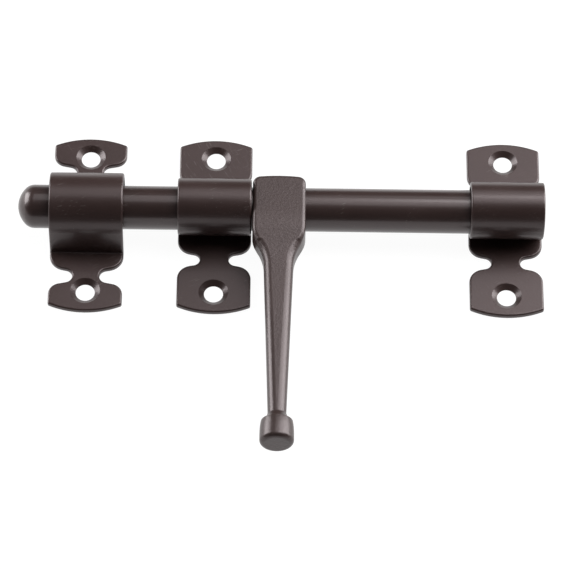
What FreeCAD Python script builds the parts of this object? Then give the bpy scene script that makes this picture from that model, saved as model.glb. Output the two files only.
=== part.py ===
import FreeCAD, Part
import math
import os
from collections import namedtuple

import Sketcher

# A round barrel bolt that is thrown by a drop lever. The rod slides through two saddle guides and its domed
# nose enters a wider saddle, the keeper. The lever's hub turns on the rod, held in place by a cross pin that
# rides in a groove.
#
# X runs along the rod, away from the nose. Y runs up the door and Z out of it. The origin is the middle of the
# guides' four screws, on the mounting plane.

Vector = FreeCAD.Vector

# Driving dimensions in millimetres, angles in degrees.
sizes = {
    # The rod's axis lies over the mounting plane, above the middle of the screws
    "axis_height": 12.2,
    # Rod
    "rod_radius": 8.0,
    "rod_length": 192.7,
    "nose_length": 6.1,
    "nose_flank_radius": 4.7,
    "tail_chamfer": 0.8,
    "groove_radius": 6.2,
    "groove_width": 3.6,
    # Sheet straps, the same for all three saddles
    "sheet": 1.7,
    "strap_width": 27.0,
    "screw_spacing": 59.3,
    "screw_hole": 7.0,
    "countersink": 10.9,
    "countersink_angle": 102.0,
    "ear_side": 5.6,
    "ear_tip": 8.55,
    "notch_flare": 12.0,
    "rim_rounding": 0.7,
    "corner_rounding": 1.0,
    # Guides: an arch that rises over the rod and closes in under its flanks
    "guide_pitch": 107.1,
    "guide_arch_radius": 8.15,
    "guide_arch_rise": 2.1,
    "guide_bend": 1.0,
    "guide_lobe_rounding": 5.5,
    "guide_notch_across": 5.3,
    "guide_notch_along": 15.2,
    "guide_notch_radius": 2.6,
    "guide_shoulder_rounding": 5.5,
    # Keeper: a wider arch on legs that spread a little
    "keeper_distance": 100.4,
    "keeper_arch_radius": 10.7,
    "keeper_arch_rise": 0.3,
    "keeper_spread": 3.5,
    "keeper_bend": 0.5,
    "keeper_lobe_rounding": 6.0,
    "keeper_notch_across": 4.95,
    "keeper_notch_along": 23.05,
    "keeper_notch_radius": 2.9,
    "keeper_shoulder_rounding": 4.5,
    # Lever, measured from the rod's axis
    "hub_width": 19.4,
    "hub_radius": 9.7,
    "hub_front": 9.3,
    "hub_top": 9.3,
    "hub_corner": 8.6,
    "hub_corner_rounding": 3.0,
    "hub_gap": 0.4,
    "hub_bore_radius": 8.05,
    "hub_shoulder": 15.8,
    "hub_shoulder_rounding": 14.0,
    "neck_half_width": 5.5,
    "neck_drop": 23.6,
    "neck_rounding": 18.0,
    "face_end": 10.8,
    "face_rounding": 40.0,
    "shank_front_top": 7.1,
    "shank_front_drop": 22.1,
    "shank_front_rounding": 55.0,
    "shank_back_top": 2.2,
    "shank_back_drop": 16.5,
    "shank_back_rounding": 8.0,
    "shank_end": 89.0,
    "shank_end_half_width": 3.28,
    "shank_end_front": 3.8,
    "shank_end_back": 3.0,
    "front_rounding": 1.4,
    "back_rounding": 2.2,
    "end_rounding": 3.2,
    "neck_front_rounding": 2.7,
    # Knob at the lever's end
    "knob_neck": 88.1,
    "knob_neck_radius": 3.45,
    "knob_flare": 4.6,
    "knob_start": 91.2,
    "knob_start_radius": 5.75,
    "knob_widest": 96.1,
    "knob_radius": 6.15,
    "knob_end": 100.3,
    "knob_end_rounding": 1.8,
    # Cross pin
    "pin_radius": 1.5,
    "pin_length": 10.6,
    "pin_drop": 8.0,
    "pin_top": 4.4,
}

doc = FreeCAD.newDocument("BarrelBolt")
sheet = doc.addObject("Spreadsheet::Sheet", "Sizes")
for row, (alias, number) in enumerate(sizes.items(), start=1):
    sheet.set(f"A{row}", alias)
    sheet.set(f"B{row}", str(number))
    sheet.setAlias(f"B{row}", alias)
doc.recompute()

# Places along X: the rod's tail is flush with the rear guide's outer side, and the lever's hub stands just
# behind the front guide.
guide_distance = "Sizes.guide_pitch / 2"
tail_place = f"({guide_distance} + Sizes.strap_width / 2)"
nose_place = f"({tail_place} - Sizes.rod_length)"
lever_place = f"(Sizes.strap_width / 2 - {guide_distance} + Sizes.hub_gap + Sizes.hub_width / 2)"

# One stop of an outline: its place in the sketch as expressions, the arc that leads to the next stop as
# (direction, radius), or None for a straight way, and the radius that rounds the corner, or None.
Stop = namedtuple("Stop", "across up arc rounding", defaults=(None, None))


def origin_plane(body, role):
    return next(item for item in body.Origin.OriginFeatures if item.Role == role)


def new_sketch(body, name, role, lift=None):
    sketch = body.newObject("Sketcher::SketchObject", name)
    sketch.AttachmentSupport = [(origin_plane(body, role), "")]
    sketch.MapMode = "FlatFace"
    if lift is not None:
        sketch.setExpression("AttachmentOffset.Base.z", lift)
    return sketch


def bind(sketch, expression, *constraint):
    index = sketch.addConstraint(Sketcher.Constraint(*constraint, sketch.evalExpression(expression)))
    sketch.setExpression(f"Constraints[{index}]", expression)


def pin_point(sketch, geometry, end, stop):
    bind(sketch, stop.across, "DistanceX", -1, 1, geometry, end)
    bind(sketch, stop.up, "DistanceY", -1, 1, geometry, end)


# Adds the way from one place to another and returns its number and the numbers of its two ends. A sketch keeps
# every arc anticlockwise, so a right-hand arc is added from its far end.
def add_way(sketch, start, end, arc):
    if arc is None:
        return sketch.addGeometry(Part.LineSegment(start, end), False), 1, 2
    direction, expression = arc
    radius = float(sketch.evalExpression(expression))
    chord = end - start
    outward = Vector(chord.y, -chord.x, 0).normalize()
    if direction == "right":
        outward = outward * -1
    height = radius - math.sqrt(radius ** 2 - chord.Length ** 2 / 4)
    middle = (start + end) * 0.5 + outward * height
    ends = (start, end) if direction == "left" else (end, start)
    way = sketch.addGeometry(Part.Arc(ends[0], middle, ends[1]), False)
    bind(sketch, expression, "Radius", way)
    return (way, 1, 2) if direction == "left" else (way, 2, 1)


# Draws a closed outline through its stops and binds every stop, arc and rounding to the sheet.
def draw_outline(sketch, stops):
    places = []
    for stop in stops:
        places.append(Vector(float(sketch.evalExpression(stop.across)), float(sketch.evalExpression(stop.up)), 0))
    arrivals = list(places)
    departures = list(places)
    middles = {}
    for number, stop in enumerate(stops):
        if stop.rounding is None:
            continue
        radius = float(sketch.evalExpression(stop.rounding))
        back = (places[number - 1] - places[number]).normalize()
        onward = (places[(number + 1) % len(stops)] - places[number]).normalize()
        half_angle = back.getAngle(onward) / 2
        arrivals[number] = places[number] + back * (radius / math.tan(half_angle))
        departures[number] = places[number] + onward * (radius / math.tan(half_angle))
        inward = (back + onward).normalize()
        middles[number] = places[number] + inward * (radius / math.sin(half_angle) - radius)

    ways = []
    for number, stop in enumerate(stops):
        ways.append(add_way(sketch, departures[number], arrivals[(number + 1) % len(stops)], stop.arc))

    for number, stop in enumerate(stops):
        before, _, before_end = ways[number - 1]
        after, after_start, _ = ways[number]
        if stop.rounding is None:
            sketch.addConstraint(Sketcher.Constraint("Coincident", before, before_end, after, after_start))
            pin_point(sketch, after, after_start, stop)
            continue
        turn = (places[number] - places[number - 1]).cross(departures[number] - places[number]).z
        ends = (arrivals[number], departures[number]) if turn > 0 else (departures[number], arrivals[number])
        arc = sketch.addGeometry(Part.Arc(ends[0], middles[number], ends[1]), False)
        arc_start, arc_end = (1, 2) if turn > 0 else (2, 1)
        sketch.addConstraint(Sketcher.Constraint("Tangent", before, before_end, arc, arc_start))
        sketch.addConstraint(Sketcher.Constraint("Tangent", arc, arc_end, after, after_start))
        bind(sketch, stop.rounding, "Radius", arc)
        corner = sketch.addGeometry(Part.Point(places[number]), True)
        sketch.addConstraint(Sketcher.Constraint("PointOnObject", corner, 1, before))
        sketch.addConstraint(Sketcher.Constraint("PointOnObject", corner, 1, after))
        pin_point(sketch, corner, 1, stop)


# The same stops on the other side of the upright centre line, in the opposite order, so that an outline that
# goes up one side comes down the other.
def other_side(stops):
    mirrored = []
    for number in reversed(range(len(stops))):
        arc = stops[number - 1].arc if number > 0 else None
        mirrored.append(Stop(f"-({stops[number].across})", stops[number].up, arc, stops[number].rounding))
    return mirrored


def half_turned(stops):
    return [Stop(f"-({stop.across})", f"-({stop.up})", stop.arc, stop.rounding) for stop in stops]


def pad_symmetric(body, name, sketch, length):
    pad = body.newObject("PartDesign::Pad", name)
    pad.Profile = sketch
    pad.SideType = "Symmetric"
    pad.setExpression("Length", length)
    return pad


def edge_names(feature, wanted):
    return [f"Edge{number}" for number, edge in enumerate(feature.Shape.Edges, start=1) if wanted(edge)]


# The flat blank of a saddle: a strap with a screw ear at each end. Between each ear and the arch a flaring notch
# on either side narrows it to a neck, and the arch's feet stand on lobes of the full width.
def draw_blank(sketch, kind):
    half = "Sizes.strap_width / 2"
    radius = f"Sizes.{kind}_notch_radius"
    along = f"Sizes.{kind}_notch_along"
    flare_across = f"{radius} * sin(Sizes.notch_flare * 1 deg)"
    flare_along = f"{radius} * cos(Sizes.notch_flare * 1 deg)"
    touch = f"(Sizes.{kind}_notch_across + {radius} - {flare_across})"
    mouth = f"({flare_along} + ({half} - {touch}) * tan(Sizes.notch_flare * 1 deg))"
    ear = "Sizes.screw_spacing / 2 + Sizes.ear_side"
    crown = "(Sizes.ear_tip - Sizes.ear_side)"
    ear_radius = f"(({half})^2 + {crown}^2) / (2 * {crown})"
    quarter = [
        Stop(half, f"{along} - {mouth}", None, f"Sizes.{kind}_lobe_rounding"),
        Stop(touch, f"{along} - {flare_along}", ("right", radius)),
        Stop(f"Sizes.{kind}_notch_across", along, ("right", radius)),
        Stop(touch, f"{along} + {flare_along}"),
        Stop(half, f"{along} + {mouth}", None, f"Sizes.{kind}_shoulder_rounding"),
        Stop(half, ear, ("left", ear_radius)),
    ]
    upper = quarter + other_side(quarter)
    draw_outline(sketch, upper + half_turned(upper))


# The outline of a guide's arch, outside or inside: a half circle on short upright sides, a ring close round the
# rod's lower flanks and a bend into the plate. The ring and the bend touch on the line between their centres.
def draw_guide_arch(sketch, ring, bend, floor):
    fall = f"(Sizes.axis_height - {floor} - {bend})"
    reach = f"sqrt(({ring} + {bend})^2 - {fall}^2)"
    share = f"{ring} / ({ring} + {bend})"
    spring = "Sizes.axis_height + Sizes.guide_arch_rise"
    side = [
        Stop(reach, "0"),
        Stop(reach, floor, ("right", bend)),
        Stop(f"{reach} * {share}", f"Sizes.axis_height - {fall} * {share}", ("left", ring)),
        Stop(ring, "Sizes.axis_height"),
        Stop(ring, spring, ("left", ring)),
    ]
    if floor == "0":
        side = side[1:]
    crown = [Stop("0", f"{spring} + {ring}", ("left", ring))]
    draw_outline(sketch, side + crown + other_side(side))


# The outline of the keeper's arch, outside or inside: a circle over the rod, straight legs that spread from it
# and a bend into the plate.
def draw_keeper_arch(sketch, ring, bend, floor):
    centre = "(Sizes.axis_height + Sizes.keeper_arch_rise)"
    sine = "sin(Sizes.keeper_spread * 1 deg)"
    cosine = "cos(Sizes.keeper_spread * 1 deg)"
    reach = f"({ring} + {bend} + ({centre} - {floor} - {bend}) * {sine}) / {cosine}"
    side = [
        Stop(reach, "0"),
        Stop(reach, floor, ("right", bend)),
        Stop(f"{reach} - {bend} * {cosine}", f"{floor} + {bend} - {bend} * {sine}"),
        Stop(f"{ring} * {cosine}", f"{centre} + {ring} * {sine}", ("left", ring)),
    ]
    if floor == "0":
        side = side[1:]
    draw_outline(sketch, side + other_side(side))


# Rounds the edges of a feature that the rule picks.
def round_off(body, name, feature, rule, radius):
    doc.recompute()
    rounded = body.newObject("PartDesign::Fillet", name)
    rounded.Base = (feature, edge_names(feature, rule))
    rounded.setExpression("Radius", radius)
    doc.recompute()
    return rounded


# The blank's sharp corners stand where the ears' sides meet their tips.
def ear_corner(edge):
    box = edge.BoundBox
    upright = box.XLength < 0.01 and box.YLength < 0.01
    return upright and abs(abs(box.YMin) - sizes["screw_spacing"] / 2 - sizes["ear_side"]) < 0.01


def on_plate_top(edge):
    return edge.BoundBox.ZMin > sizes["sheet"] - 0.01


def on_arch_end(edge):
    box = edge.BoundBox
    return box.XLength < 0.01 and box.ZMax > sizes["sheet"] + 0.01


# A saddle: the blank, the arch pressed up from it, both with a softened outer rim, the tunnel under the arch
# and two countersunk screw holes.
def make_saddle(node, kind, draw_arch, distance):
    body = doc.addObject("PartDesign::Body", node)
    body.Label = node
    blank = new_sketch(body, f"{node}_blank", "XY_Plane")
    draw_blank(blank, kind)
    plate = body.newObject("PartDesign::Pad", f"{node}_plate")
    plate.Profile = blank
    plate.setExpression("Length", "Sizes.sheet")
    cornered = round_off(body, f"{node}_corners", plate, ear_corner, "Sizes.corner_rounding")
    round_off(body, f"{node}_plate_rim", cornered, on_plate_top, "Sizes.rim_rounding")

    ring = f"Sizes.{kind}_arch_radius"
    bend = f"Sizes.{kind}_bend"
    hump = doc.addObject("PartDesign::Body", f"{node}_hump")
    outside = new_sketch(hump, f"{node}_outside", "YZ_Plane")
    draw_arch(outside, f"({ring} + Sizes.sheet)", bend, "Sizes.sheet")
    arch = pad_symmetric(hump, f"{node}_arch", outside, "Sizes.strap_width")
    round_off(hump, f"{node}_arch_rim", arch, on_arch_end, "Sizes.rim_rounding")
    joined = body.newObject("PartDesign::Boolean", f"{node}_joined")
    joined.Type = "Fuse"
    joined.setObjects([hump])
    doc.recompute()
    filled = body.Shape.Volume

    inside = new_sketch(body, f"{node}_inside", "YZ_Plane")
    draw_arch(inside, ring, f"({bend} + Sizes.sheet)", "0")
    tunnel = body.newObject("PartDesign::Pocket", f"{node}_tunnel")
    tunnel.Profile = inside
    tunnel.SideType = "Symmetric"
    tunnel.setExpression("Length", "Sizes.strap_width")
    doc.recompute()
    check_cut(tunnel, filled, body.Shape.Volume)

    undrilled = body.Shape.Volume
    screws = new_sketch(body, f"{node}_screws", "XY_Plane", "Sizes.sheet")
    for side in ("-", ""):
        circle = screws.addGeometry(Part.Circle(Vector(0, 0, 0), Vector(0, 0, 1), 1.0), False)
        bind(screws, "Sizes.screw_hole / 2", "Radius", circle)
        pin_point(screws, circle, 3, Stop("0", f"{side}Sizes.screw_spacing / 2"))
    holes = body.newObject("PartDesign::Hole", f"{node}_holes")
    holes.Profile = screws
    holes.DepthType = "ThroughAll"
    holes.HoleCutType = "Countersink"
    holes.HoleCutCustomValues = True
    holes.setExpression("Diameter", "Sizes.screw_hole")
    holes.setExpression("HoleCutDiameter", "Sizes.countersink")
    holes.setExpression("HoleCutCountersinkAngle", "Sizes.countersink_angle")
    doc.recompute()
    check_cut(holes, undrilled, body.Shape.Volume)
    body.setExpression("Placement.Base.x", distance)
    return body


def check_cut(feature, before, after):
    if not after < before - 1.0:
        raise RuntimeError(f"{feature.Label} removes nothing")
    print(f"{feature.Label}: removes {before - after:.1f} mm3")


# The rod: a turned bar with a domed nose, a chamfered tail and the groove for the lever's pin.
def make_rod():
    body = doc.addObject("PartDesign::Body", "bolt_rod")
    body.Label = "bolt_rod"
    body.setExpression("Placement.Base.x", nose_place)
    body.setExpression("Placement.Base.z", "Sizes.axis_height")

    section = new_sketch(body, "bolt_rod_section", "XZ_Plane")
    depth = "Sizes.nose_length"
    radius = "Sizes.rod_radius"
    flank = "Sizes.nose_flank_radius"
    crown = f"(({depth}^2 + ({radius} - {flank})^2 - {flank}^2) / (2 * ({depth} - {flank})))"
    touch_along = f"{crown} + ({depth} - {crown}) * {crown} / ({crown} - {flank})"
    touch_up = f"({radius} - {flank}) * {crown} / ({crown} - {flank})"
    draw_outline(section, [
        Stop("0", "0", ("right", crown)),
        Stop(touch_along, touch_up, ("right", flank)),
        Stop(depth, radius),
        Stop("Sizes.rod_length - Sizes.tail_chamfer", radius),
        Stop("Sizes.rod_length", f"{radius} - Sizes.tail_chamfer"),
        Stop("Sizes.rod_length", "0"),
    ])
    bar = body.newObject("PartDesign::Revolution", "bolt_rod_bar")
    bar.Profile = section
    bar.ReferenceAxis = (section, ["H_Axis"])
    bar.Angle = 360.0
    doc.recompute()
    uncut = body.Shape.Volume

    cut = new_sketch(body, "bolt_rod_groove_section", "XZ_Plane")
    middle = f"{lever_place} - {nose_place}"
    low = f"{middle} - Sizes.groove_width / 2"
    high = f"{middle} + Sizes.groove_width / 2"
    over = f"{radius} + 1"
    draw_outline(cut, [
        Stop(low, "Sizes.groove_radius"),
        Stop(high, "Sizes.groove_radius"),
        Stop(high, over),
        Stop(low, over),
    ])
    groove = body.newObject("PartDesign::Groove", "bolt_rod_groove")
    groove.Profile = cut
    groove.ReferenceAxis = (cut, ["H_Axis"])
    groove.Angle = 360.0
    doc.recompute()
    check_cut(groove, uncut, body.Shape.Volume)
    return body


# The lever from the front: a wide hub that draws in to a slim, tapering shank.
def make_lever_front():
    body = doc.addObject("PartDesign::Body", "lever_front")
    outline = new_sketch(body, "lever_front_outline", "XY_Plane")
    half = "Sizes.hub_width / 2"
    crown = "(Sizes.hub_top - Sizes.hub_corner)"
    crown_radius = f"(({half})^2 + {crown}^2) / (2 * {crown})"
    right = [
        Stop("Sizes.shank_end_half_width", "-Sizes.shank_end"),
        Stop("Sizes.neck_half_width", "-Sizes.neck_drop", None, "Sizes.neck_rounding"),
        Stop(half, "-Sizes.hub_shoulder", None, "Sizes.hub_shoulder_rounding"),
        Stop(half, "Sizes.hub_corner", ("left", crown_radius)),
    ]
    draw_outline(outline, right + other_side(right))
    pad_symmetric(body, "lever_front_pad", outline, "4 * Sizes.hub_radius")
    return body


# The lever from the side: the hub is round behind the rod and flat in front of it, and the shank thins towards
# the knob. Behind, a straight web runs from the round hub to the shank.
def make_lever_side():
    body = doc.addObject("PartDesign::Body", "lever_side")
    profile = new_sketch(body, "lever_side_profile", "YZ_Plane")
    radius = "Sizes.hub_radius"
    above = f"{radius} + 1"
    slope = "atan2(-Sizes.shank_back_top; -Sizes.shank_back_drop)"
    away = "sqrt(Sizes.shank_back_top^2 + Sizes.shank_back_drop^2)"
    touch = f"({slope} + acos({radius} / {away}))"
    draw_outline(profile, [
        Stop(above, "0"),
        Stop(above, "Sizes.hub_front"),
        Stop("-Sizes.face_end", "Sizes.hub_front", None, "Sizes.face_rounding"),
        Stop("-Sizes.shank_front_drop", "Sizes.shank_front_top", None, "Sizes.shank_front_rounding"),
        Stop("-Sizes.shank_end", "Sizes.shank_end_front"),
        Stop("-Sizes.shank_end", "-Sizes.shank_end_back"),
        Stop("-Sizes.shank_back_drop", "-Sizes.shank_back_top", None, "Sizes.shank_back_rounding"),
        Stop(f"{radius} * cos({touch})", f"{radius} * sin({touch})", ("left", radius)),
        Stop(radius, "0"),
    ])
    pad_symmetric(body, "lever_side_pad", profile, "2 * Sizes.hub_width")
    return body


# The knob: turned about the shank's own middle line, with a flare, a slightly barrelled side and a flat end.
def make_knob():
    body = doc.addObject("PartDesign::Body", "lever_knob")
    body.setExpression("Placement.Base.z", "(Sizes.shank_end_front - Sizes.shank_end_back) / 2")
    section = new_sketch(body, "lever_knob_section", "XY_Plane")
    swell = "(Sizes.knob_radius - Sizes.knob_start_radius)"
    barrel = f"(({swell})^2 + (Sizes.knob_widest - Sizes.knob_start)^2) / (2 * {swell})"
    draw_outline(section, [
        Stop("0", "-Sizes.knob_neck"),
        Stop("Sizes.knob_neck_radius", "-Sizes.knob_neck", ("left", "Sizes.knob_flare")),
        Stop("Sizes.knob_start_radius", "-Sizes.knob_start", ("right", barrel)),
        Stop("Sizes.knob_radius", "-Sizes.knob_widest"),
        Stop("Sizes.knob_radius", "-Sizes.knob_end", None, "Sizes.knob_end_rounding"),
        Stop("0", "-Sizes.knob_end"),
    ])
    turned = body.newObject("PartDesign::Revolution", "lever_knob_turned")
    turned.Profile = section
    turned.ReferenceAxis = (section, ["V_Axis"])
    turned.Angle = 360.0
    return body


def part_boolean(kind, name, base, tool):
    result = doc.addObject(kind, name)
    result.Base = base
    result.Tool = tool
    return result


# Rounds edges of a shape. The rule gives an edge's radius at its upper and at its lower end, or None.
def round_edges(base, name, rule):
    rounded = doc.addObject("Part::Fillet", name)
    rounded.Base = base
    edges = []
    for number, edge in enumerate(base.Shape.Edges, start=1):
        radii = rule(edge.BoundBox)
        if radii is None:
            continue
        upward = edge.firstVertex(True).Point.y < edge.lastVertex(True).Point.y
        edges.append((number, *reversed(radii)) if upward else (number, *radii))
    rounded.Edges = edges
    doc.recompute()
    return rounded


def top_corner(box):
    upright = box.XLength < 0.01 and box.YLength < 0.01
    return (sizes["hub_corner_rounding"],) * 2 if upright and box.YMin > 0 else None


# A rim is an edge between the front outline's walls and the side profile's faces. Edges along X or Z aren't.
def on_rim(box):
    return box.YLength > 0.01 and (box.XLength > 0.01 or box.ZLength > 0.01 or box.YLength > 0.5)


# The front rim's rounding grows from the hub to the neck and on to the shank's end, which is nearly half round.
def front_radius(y):
    below_hub = max(0.0, -sizes["hub_shoulder"] - y)
    to_neck = sizes["neck_drop"] - sizes["hub_shoulder"]
    if below_hub < to_neck:
        share = below_hub / to_neck
        return (1 - share) * sizes["front_rounding"] + share * sizes["neck_front_rounding"]
    share = (below_hub - to_neck) / (sizes["shank_end"] - sizes["neck_drop"])
    return (1 - share) * sizes["neck_front_rounding"] + share * sizes["end_rounding"]


def front_rim(box):
    if not on_rim(box) or box.Center.z < 0:
        return None
    return front_radius(box.YMax), front_radius(box.YMin)


def back_rim(box):
    return (sizes["back_rounding"],) * 2 if on_rim(box) and box.ZMax < 0 else None


def make_lever():
    casting = part_boolean("Part::Common", "lever_casting", make_lever_front(), make_lever_side())
    doc.recompute()
    cornered = round_edges(casting, "lever_corners", top_corner)
    fronted = round_edges(cornered, "lever_front_rim", front_rim)
    smooth = round_edges(fronted, "lever_back_rim", back_rim)
    with_knob = part_boolean("Part::Fuse", "lever_with_knob", smooth, make_knob())

    bore = doc.addObject("Part::Cylinder", "lever_bore")
    bore.Placement = along_x
    bore.setExpression("Placement.Base.x", "-Sizes.hub_width")
    bore.setExpression("Radius", "Sizes.hub_bore_radius")
    bore.setExpression("Height", "2 * Sizes.hub_width")
    bored = part_boolean("Part::Cut", "lever_bored", with_knob, bore)

    pin_hole = doc.addObject("Part::Cylinder", "lever_pin_hole")
    pin_hole.setExpression("Placement.Base.y", "-Sizes.pin_drop")
    pin_hole.setExpression("Placement.Base.z", "-Sizes.hub_radius")
    pin_hole.setExpression("Radius", "Sizes.pin_radius")
    pin_hole.setExpression("Height", "Sizes.hub_radius + Sizes.pin_top")
    lever = part_boolean("Part::Cut", "lever_handle", bored, pin_hole)
    lever.Label = "lever_handle"
    stand_on_axis(lever)
    doc.recompute()
    return lever


# A plain cross pin, pressed into the hub from behind. It touches the bottom of its blind hole.
def make_pin():
    body = doc.addObject("PartDesign::Body", "lever_pin")
    body.Label = "lever_pin"
    stand_on_axis(body)
    pin = body.newObject("PartDesign::AdditiveCylinder", "lever_pin_bar")
    pin.setExpression("Placement.Base.y", "-Sizes.pin_drop")
    pin.setExpression("Placement.Base.z", "Sizes.pin_top - Sizes.pin_length")
    pin.setExpression("Radius", "Sizes.pin_radius")
    pin.setExpression("Height", "Sizes.pin_length")
    return body


def stand_on_axis(piece):
    piece.setExpression("Placement.Base.x", lever_place)
    piece.setExpression("Placement.Base.z", "Sizes.axis_height")


along_x = FreeCAD.Placement(Vector(0, 0, 0), FreeCAD.Rotation(Vector(0, 1, 0), 90))

pieces = [
    make_rod(),
    make_lever(),
    make_pin(),
    make_saddle("front_guide", "guide", draw_guide_arch, f"-{guide_distance}"),
    make_saddle("rear_guide", "guide", draw_guide_arch, guide_distance),
    make_saddle("keeper", "keeper", draw_keeper_arch, "-Sizes.keeper_distance"),
]
doc.recompute()

for item in doc.Objects:
    if "Invalid" in item.State or "Error" in item.State:
        raise RuntimeError(f"{item.Name} failed: {item.State}")
os.makedirs("parts", exist_ok=True)
for piece in pieces:
    shape = piece.Shape
    if shape.isNull() or not shape.isValid():
        raise RuntimeError(f"{piece.Label} has no valid shape")
    shape.exportStep(f"parts/{piece.Label}.step")
    box = shape.BoundBox
    print(f"{piece.Label}: {len(shape.Solids)} solid, {shape.Volume:.0f} mm3, "
          f"x {box.XMin:.2f} to {box.XMax:.2f}, y {box.YMin:.2f} to {box.YMax:.2f}, "
          f"z {box.ZMin:.2f} to {box.ZMax:.2f}")
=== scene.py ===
import math

import bpy
from mathutils import Matrix, Vector

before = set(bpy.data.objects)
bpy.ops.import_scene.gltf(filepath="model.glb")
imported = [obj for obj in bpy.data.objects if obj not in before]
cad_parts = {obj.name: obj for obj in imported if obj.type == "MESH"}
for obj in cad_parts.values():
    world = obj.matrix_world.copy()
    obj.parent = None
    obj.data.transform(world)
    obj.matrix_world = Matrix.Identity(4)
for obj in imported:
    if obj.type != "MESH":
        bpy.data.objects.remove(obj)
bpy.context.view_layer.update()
print("stage: frame loaded")


def deselectAll():
    bpy.ops.object.select_all(action="DESELECT")


# Satin dark brown paint over steel. Colours are linear.
paint = {
    "rod": {
        "base": (0.022, 0.0115, 0.0100),
        "roughness": 0.33,
        "coat": 0.40,
        "grain": 0.10,
        "scratch": 0.25,
    },
    "casting": {
        "base": (0.026, 0.0160, 0.0142),
        "roughness": 0.38,
        "coat": 0.16,
        "grain": 0.45,
        "scratch": 0.0,
    },
    "sheet": {
        "base": (0.022, 0.0115, 0.0100),
        "roughness": 0.36,
        "coat": 0.16,
        "grain": 0.14,
        "scratch": 0.24,
    },
    "ior": 1.55,
    "tint": (1.0, 0.865, 0.885),
    "coatRoughness": 0.13,
    "wear": (0.17, 0.15, 0.145),
    "driftScale": 45.0,
    "driftDetail": 3.0,
    "driftDepth": 0.14,
    "driftReach": (0.3, 0.7),
    "glossReach": (-0.03, 0.04),
    "grainScale": 1100.0,
    "grainDetail": 3.0,
    "grainHeight": 0.0002,
    "nibScale": 900.0,
    "nibReach": (0.09, 0.05),
    "nibPatchScale": 160.0,
    "nibPatch": (0.60, 0.66),
    "scratchStretch": (210.0, 3000.0, 3000.0),
    "scratchLays": ((25.0, 100.0), (-60.0, 15.0)),  # turn in degrees, scale of the patches
    "scratchBand": (0.72, 0.76),
    "scratchPatch": (0.54, 0.66),
}


def addNoise(tree, vector, scale, detail=2.0):
    noise = tree.nodes.new("ShaderNodeTexNoise")
    noise.inputs["Scale"].default_value = scale
    noise.inputs["Detail"].default_value = detail
    tree.links.new(vector, noise.inputs["Vector"])
    return noise.outputs["Fac"]


def addRamp(tree, value, start, end, low=0.0, high=1.0):
    ramp = tree.nodes.new("ShaderNodeMapRange")
    ramp.inputs["From Min"].default_value = start
    ramp.inputs["From Max"].default_value = end
    ramp.inputs["To Min"].default_value = low
    ramp.inputs["To Max"].default_value = high
    tree.links.new(value, ramp.inputs["Value"])
    return ramp.outputs["Result"]


def addMath(tree, operation, first, second):
    step = tree.nodes.new("ShaderNodeMath")
    step.operation = operation
    tree.links.new(first, step.inputs[0])
    tree.links.new(second, step.inputs[1])
    return step.outputs["Value"]


def addMix(tree, factor, first, second):
    mix = tree.nodes.new("ShaderNodeMix")
    mix.data_type = "RGBA"
    tree.links.new(factor, mix.inputs[0])
    for source, target in ((first, mix.inputs[6]), (second, mix.inputs[7])):
        if isinstance(source, tuple):
            target.default_value = (*source, 1.0)
        else:
            tree.links.new(source, target)
    return mix.outputs[2]


# Fine strokes of rubbed paint: noise drawn out along one direction, kept only where it peaks.
def addScratches(tree, place, turn):
    lay = tree.nodes.new("ShaderNodeMapping")
    lay.vector_type = "TEXTURE"
    lay.inputs["Rotation"].default_value = (0.0, 0.0, math.radians(turn))
    lay.inputs["Scale"].default_value = [1.0 / stretch for stretch in paint["scratchStretch"]]
    tree.links.new(place, lay.inputs["Vector"])
    strokes = addNoise(tree, lay.outputs["Vector"], 1.0, 0.0)
    return addRamp(tree, strokes, *paint["scratchBand"])


def makePaint(name, look):
    material = bpy.data.materials.new(name)
    material.use_nodes = True
    tree = material.node_tree
    shader = tree.nodes["Principled BSDF"]
    shader.inputs["Metallic"].default_value = 0.0
    shader.inputs["IOR"].default_value = paint["ior"]
    shader.inputs["Specular Tint"].default_value = (*paint["tint"], 1.0)
    shader.inputs["Coat Weight"].default_value = look["coat"]
    shader.inputs["Coat Roughness"].default_value = paint["coatRoughness"]
    place = tree.nodes.new("ShaderNodeTexCoord").outputs["Object"]

    # Slow change of tone and gloss over the piece.
    drift = addNoise(tree, place, paint["driftScale"], paint["driftDetail"])
    depth = paint["driftDepth"]
    dark = tuple((1.0 - depth) * c for c in look["base"])
    light = tuple((1.0 + depth) * c for c in look["base"])
    tone = addMix(tree, drift, dark, light)
    glossEnds = [look["roughness"] + change for change in paint["glossReach"]]
    gloss = addRamp(tree, drift, *paint["driftReach"], *glossEnds)
    tree.links.new(gloss, shader.inputs["Roughness"])

    # Pale dust nibs in patches.
    cells = tree.nodes.new("ShaderNodeTexVoronoi")
    cells.inputs["Scale"].default_value = paint["nibScale"]
    tree.links.new(place, cells.inputs["Vector"])
    nibs = addRamp(tree, cells.outputs["Distance"], *paint["nibReach"])
    patches = addRamp(tree, addNoise(tree, place, paint["nibPatchScale"]), *paint["nibPatch"])
    marks = addMath(tree, "MULTIPLY", nibs, patches)

    if look["scratch"] > 0.0:
        for turn, patchScale in paint["scratchLays"]:
            where = addNoise(tree, place, patchScale, 1.0)
            kept = addRamp(tree, where, *paint["scratchPatch"], 0.0, look["scratch"])
            strokes = addMath(tree, "MULTIPLY", addScratches(tree, place, turn), kept)
            marks = addMath(tree, "MAXIMUM", marks, strokes)
    tree.links.new(addMix(tree, marks, tone, paint["wear"]), shader.inputs["Base Color"])

    # Grain of the surface under the paint.
    bump = tree.nodes.new("ShaderNodeBump")
    bump.inputs["Strength"].default_value = look["grain"]
    bump.inputs["Distance"].default_value = paint["grainHeight"]
    grain = addNoise(tree, place, paint["grainScale"], paint["grainDetail"])
    tree.links.new(grain, bump.inputs["Height"])
    tree.links.new(bump.outputs["Normal"], shader.inputs["Normal"])
    return material


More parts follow.
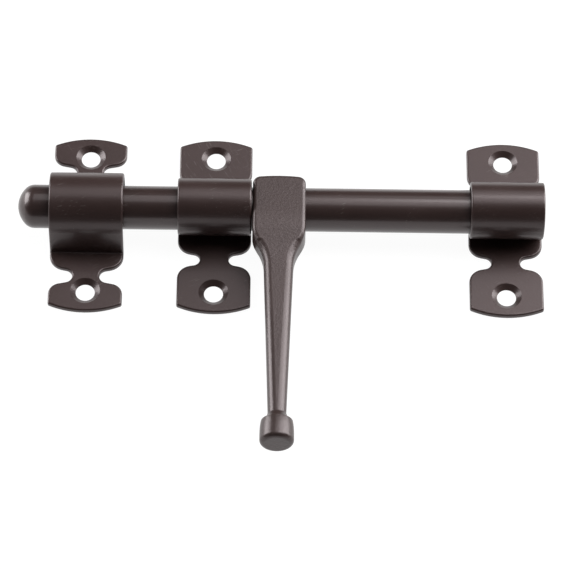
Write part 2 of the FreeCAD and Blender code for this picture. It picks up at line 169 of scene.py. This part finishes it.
def dress(node, material):
    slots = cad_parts[node].data.materials
    if len(slots):
        slots[0] = material
    else:
        slots.append(material)


paints = {kind: makePaint(f"{kind}Paint", paint[kind]) for kind in ("rod", "casting", "sheet")}
dress("bolt_rod", paints["rod"])
dress("lever_handle", paints["casting"])
dress("lever_pin", paints["casting"])
for saddle in ("front_guide", "rear_guide", "keeper"):
    dress(saddle, paints["sheet"])
print("stage: paint on")

# White sweep and soft lights. Glow is what the eye sees of the floor, shade how much shadow it takes.
studio = {
    "floorSize": 12.0,
    "floorDrop": 0.0002,
    "floorPaper": 0.88,
    "floorGlow": 0.95,
    "floorShade": 0.10,
    "air": 0.10,
    # place, width, height, radiance; each lamp faces the bolt
    "lamps": {
        "topBox": ((0.22, 0.35, 0.97), 0.96, 1.10, 1.15),
        "topRight": ((0.60, 0.36, 0.95), 0.80, 1.05, 5.0),
        "leftBox": ((-0.87, 0.36, 0.34), 0.70, 0.62, 7.5),
        "rightBox": ((0.87, 0.36, 0.34), 0.70, 0.62, 6.5),
    },
}


# The eye and the gloss see an even white with the bolt's shadow on it; all other light sees white paper.
def makeFloorPaint():
    material = bpy.data.materials.new("whiteSweep")
    material.use_nodes = True
    tree = material.node_tree
    nodes, links = tree.nodes, tree.links
    nodes.clear()
    paper = nodes.new("ShaderNodeBsdfDiffuse")
    paper.inputs["Color"].default_value = (*[studio["floorPaper"]] * 3, 1.0)
    glow = nodes.new("ShaderNodeEmission")
    glow.inputs["Strength"].default_value = studio["floorGlow"]
    shade = nodes.new("ShaderNodeBsdfDiffuse")
    shade.inputs["Color"].default_value = (*[studio["floorShade"]] * 3, 1.0)
    seen = nodes.new("ShaderNodeAddShader")
    links.new(glow.outputs["Emission"], seen.inputs[0])
    links.new(shade.outputs["BSDF"], seen.inputs[1])
    rays = nodes.new("ShaderNodeLightPath").outputs
    sharp = addMath(tree, "MAXIMUM", rays["Is Camera Ray"], rays["Is Glossy Ray"])
    either = addMath(tree, "MAXIMUM", sharp, rays["Is Transmission Ray"])
    mix = nodes.new("ShaderNodeMixShader")
    links.new(either, mix.inputs[0])
    links.new(paper.outputs["BSDF"], mix.inputs[1])
    links.new(seen.outputs["Shader"], mix.inputs[2])
    out = nodes.new("ShaderNodeOutputMaterial")
    links.new(mix.outputs["Shader"], out.inputs["Surface"])
    return material


def makeFloor():
    deselectAll()
    place = (0, 0, -studio["floorDrop"])
    bpy.ops.mesh.primitive_plane_add(size=studio["floorSize"], location=place)
    floor = bpy.context.active_object
    floor.name = "floor"
    floor.data.materials.append(makeFloorPaint())
    bpy.ops.object.transform_apply(location=True)


def makeWorld():
    world = bpy.data.worlds.new("studioAir")
    bpy.context.scene.world = world
    world.use_nodes = True
    background = world.node_tree.nodes["Background"]
    background.inputs["Color"].default_value = (1.0, 1.0, 1.0, 1.0)
    background.inputs["Strength"].default_value = studio["air"]


def makeLamp(name, place, width, height, radiance):
    data = bpy.data.lights.new(name, "AREA")
    data.shape = "RECTANGLE"
    data.size = width
    data.size_y = height
    data.energy = radiance * math.pi * width * height
    lamp = bpy.data.objects.new(name, data)
    bpy.context.scene.collection.objects.link(lamp)
    lamp.location = place
    lamp.rotation_euler = Vector(place).to_track_quat("Z", "Y").to_euler()
    lamp.visible_camera = False


makeFloor()
makeWorld()
for lampName, lampLook in studio["lamps"].items():
    makeLamp(lampName, *lampLook)

# Camera, looking down on the bolt from the lever's side.
camera = {
    "place": (-0.034804, -0.756268, 1.119288),
    "right": (0.999901, 0.007834, 0.011689),
    "up": (-0.012951, 0.837166, 0.546795),
    "back": (-0.005502, -0.546892, 0.837185),
    "lens": 230.70,
    "sensor": 36.0,
}


def makeCamera():
    data = bpy.data.cameras.new("viewCamera")
    obj = bpy.data.objects.new("viewCamera", data)
    bpy.context.scene.collection.objects.link(obj)
    data.sensor_width = camera["sensor"]
    data.lens = camera["lens"]
    right, up, back = (Vector(camera[key]).normalized() for key in ("right", "up", "back"))
    turn = Matrix((right, up, back)).transposed().to_4x4()
    obj.matrix_world = Matrix.Translation(Vector(camera["place"])) @ turn
    bpy.context.scene.camera = obj


makeCamera()
bpy.context.scene.view_settings.view_transform = "Standard"
print("stage: studio set")
